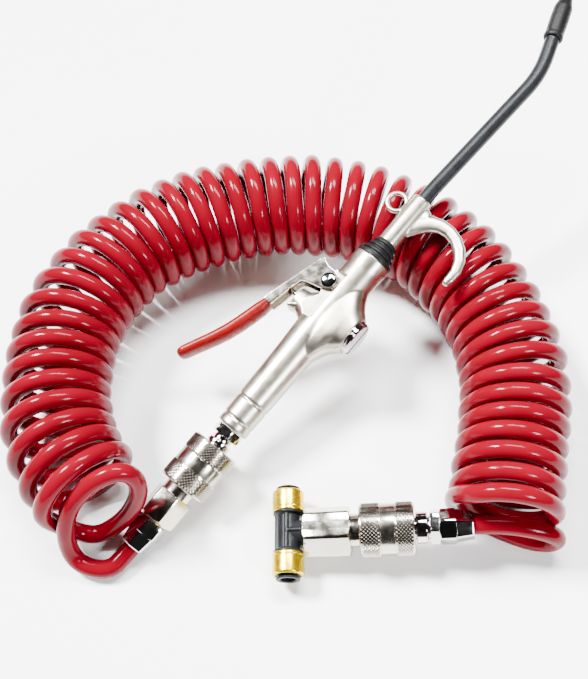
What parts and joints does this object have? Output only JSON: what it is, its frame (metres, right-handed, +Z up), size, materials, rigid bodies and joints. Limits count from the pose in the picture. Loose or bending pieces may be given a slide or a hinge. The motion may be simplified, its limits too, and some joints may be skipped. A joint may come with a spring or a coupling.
{
  "type": "air blow gun with recoil hose",
  "caption": "Air blow gun with a sprung lever and a long bent nozzle, plugged into a red recoil hose that has a quick coupler at each end and a push-in tee.",
  "frame": {"origin": "centre of the bottom of the gun and its coupler's box, on the floor that the kit lies on", "axes": "+Z up from the floor, +Y away from the two hose ends towards the nozzle tip, +X to the right of the arch of hose"},
  "size_m": [0.3284, 0.3261, 0.1123],
  "materials": {
    "satin_nickel": "satin nickel plate on cast and turned metal",
    "chrome": "polished chrome plate",
    "red_hose": "glossy polyurethane",
    "red_grip": "dipped vinyl, semi-gloss",
    "black_rubber": "matt moulded rubber",
    "black_tube": "satin black coating",
    "brass": "turned brass",
    "spring_steel": "bright steel",
    "gold_ring": "yellow anodised, satin",
    "black_plastic": "moulded, slight sheen"
  },
  "bodies": {
    "gun": {"gun_body": "satin_nickel", "inlet_plug": "chrome", "inlet_seal": "black_rubber", "valve_cap": "chrome", "valve_cap_seal": "black_rubber", "valve_spring": "spring_steel", "stem_guide": "brass", "stem_seal": "black_rubber", "lever_pivot_pin": "chrome", "nozzle_collar": "black_rubber", "nozzle_seal": "black_rubber", "hanger_hook": "satin_nickel", "nozzle_tube": "black_tube", "nozzle_tip": "black_rubber", "gun_coupler_body": "satin_nickel", "gun_coupler_balls": "spring_steel", "gun_coupler_valve": "brass", "gun_coupler_valve_spring": "spring_steel", "gun_coupler_seal": "black_rubber", "gun_coupler_snap_ring": "spring_steel", "gun_coupler_spring": "spring_steel", "gun_hose_connector": "chrome", "gun_hose_nut": "chrome", "hose_lead_in": "red_hose", "hose_coil": "red_hose", "hose_lead_out": "red_hose", "line_plug": "chrome", "line_hose_nut": "chrome"},
    "lever": {"lever": "chrome", "lever_grip": "red_grip"},
    "valve": {"valve_stem": "chrome", "valve_poppet": "brass", "poppet_seal": "black_rubber"},
    "gun_coupler_sleeve": {"gun_coupler_sleeve": "satin_nickel"},
    "line_coupler": {"line_coupler_body": "satin_nickel", "line_coupler_balls": "spring_steel", "line_coupler_valve": "brass", "line_coupler_valve_spring": "spring_steel", "line_coupler_seal": "black_rubber", "line_coupler_snap_ring": "spring_steel", "line_coupler_spring": "spring_steel", "tee_body": "black_plastic", "tee_stem": "brass", "tee_ring_back": "gold_ring", "tee_ring_front": "gold_ring", "grab_ring_back": "spring_steel", "grab_ring_front": "spring_steel", "tube_seal_back": "black_rubber", "tube_seal_front": "black_rubber"},
    "line_coupler_sleeve": {"line_coupler_sleeve": "satin_nickel"},
    "collet_back": {"collet_back": "black_plastic"},
    "collet_front": {"collet_front": "black_plastic"}
  },
  "joints": [
    {"name": "lever_hinge", "type": "hinge", "parent": "gun", "child": "lever", "pos_m": [-0.01621, -0.01204, 0.05243], "axis": [-0.1641, -0.1868, 0.9686], "range_deg": [0, 12], "stiffness_Nm_per_rad": 2.5, "springref_deg": -8.59},
    {"name": "valve_slide", "type": "slide", "parent": "gun", "child": "valve", "axis": [0.7513, -0.66, 0], "range_m": [0, 0.0044], "deforming": ["valve_spring"]},
    {"name": "gun_sleeve_slide", "type": "slide", "parent": "gun", "child": "gun_coupler_sleeve", "axis": [-0.6393, -0.7277, -0.2487], "range_m": [0, 0.004], "stiffness_N_per_m": 1200, "springref_m": -0.004, "deforming": ["gun_coupler_spring"]},
    {"name": "line_swivel", "type": "hinge", "parent": "gun", "child": "line_coupler", "pos_m": [0.01965, -0.14499, 0.02095], "axis": [0.9903, 0, 0.1392], "continuous": true},
    {"name": "line_sleeve_slide", "type": "slide", "parent": "line_coupler", "child": "line_coupler_sleeve", "axis": [-0.9903, 0, -0.1392], "range_m": [0, 0.004], "stiffness_N_per_m": 1200, "springref_m": -0.004, "deforming": ["line_coupler_spring"]},
    {"name": "collet_back_slide", "type": "slide", "parent": "line_coupler", "child": "collet_back", "axis": [0, -1, 0], "range_m": [0, 0.0012]},
    {"name": "collet_front_slide", "type": "slide", "parent": "line_coupler", "child": "collet_front", "axis": [0, 1, 0], "range_m": [0, 0.0012]}
  ],
  "couplings": [
    {"joint": "valve_slide", "follows": "lever_hinge", "m_per_rad": 0.0205}
  ]
}
